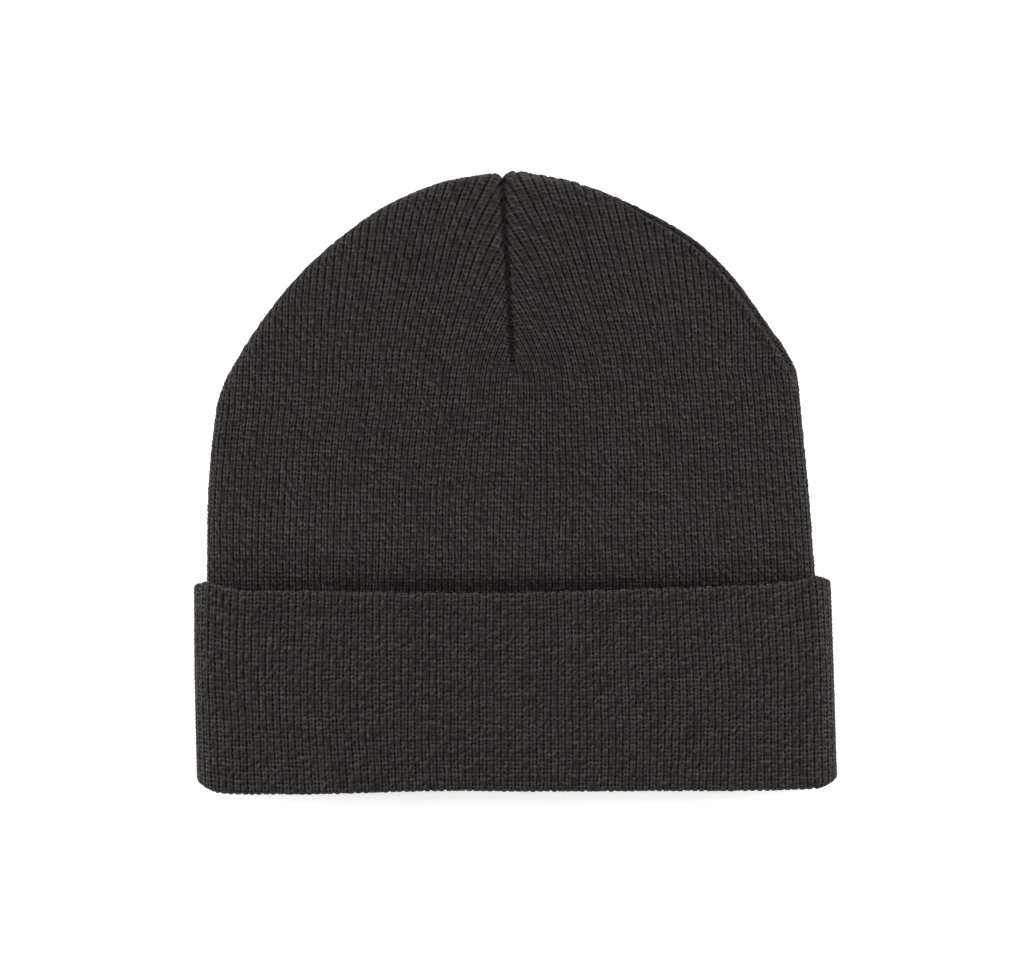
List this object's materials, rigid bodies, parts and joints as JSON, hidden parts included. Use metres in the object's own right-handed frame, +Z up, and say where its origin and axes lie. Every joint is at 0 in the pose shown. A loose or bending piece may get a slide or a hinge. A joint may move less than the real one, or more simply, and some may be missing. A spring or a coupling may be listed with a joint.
{
  "type": "cuffed beanie",
  "caption": "Rib-knit beanie laid flat on its back: a hollow domed crown drawn in by darts, open below for the head, with a wide turned-up cuff.",
  "frame": {"origin": "middle of the footprint, on the surface that the hat lies on", "axes": "+X to the right across the hat as seen from above, +Y from the cuff's fold towards the top of the crown, +Z up out of the hat's front"},
  "size_m": [0.2204, 0.2138, 0.0234],
  "materials": {
    "knit": "matt charcoal rib knit",
    "cuff_knit": "matt charcoal rib knit",
    "seam_yarn": "matt charcoal yarn"
  },
  "bodies": {
    "root": {"crown": "knit", "cuff": "cuff_knit", "front_dart_seam": "seam_yarn", "back_dart_seam": "seam_yarn", "crown_seam": "seam_yarn"}
  },
  "joints": []
}
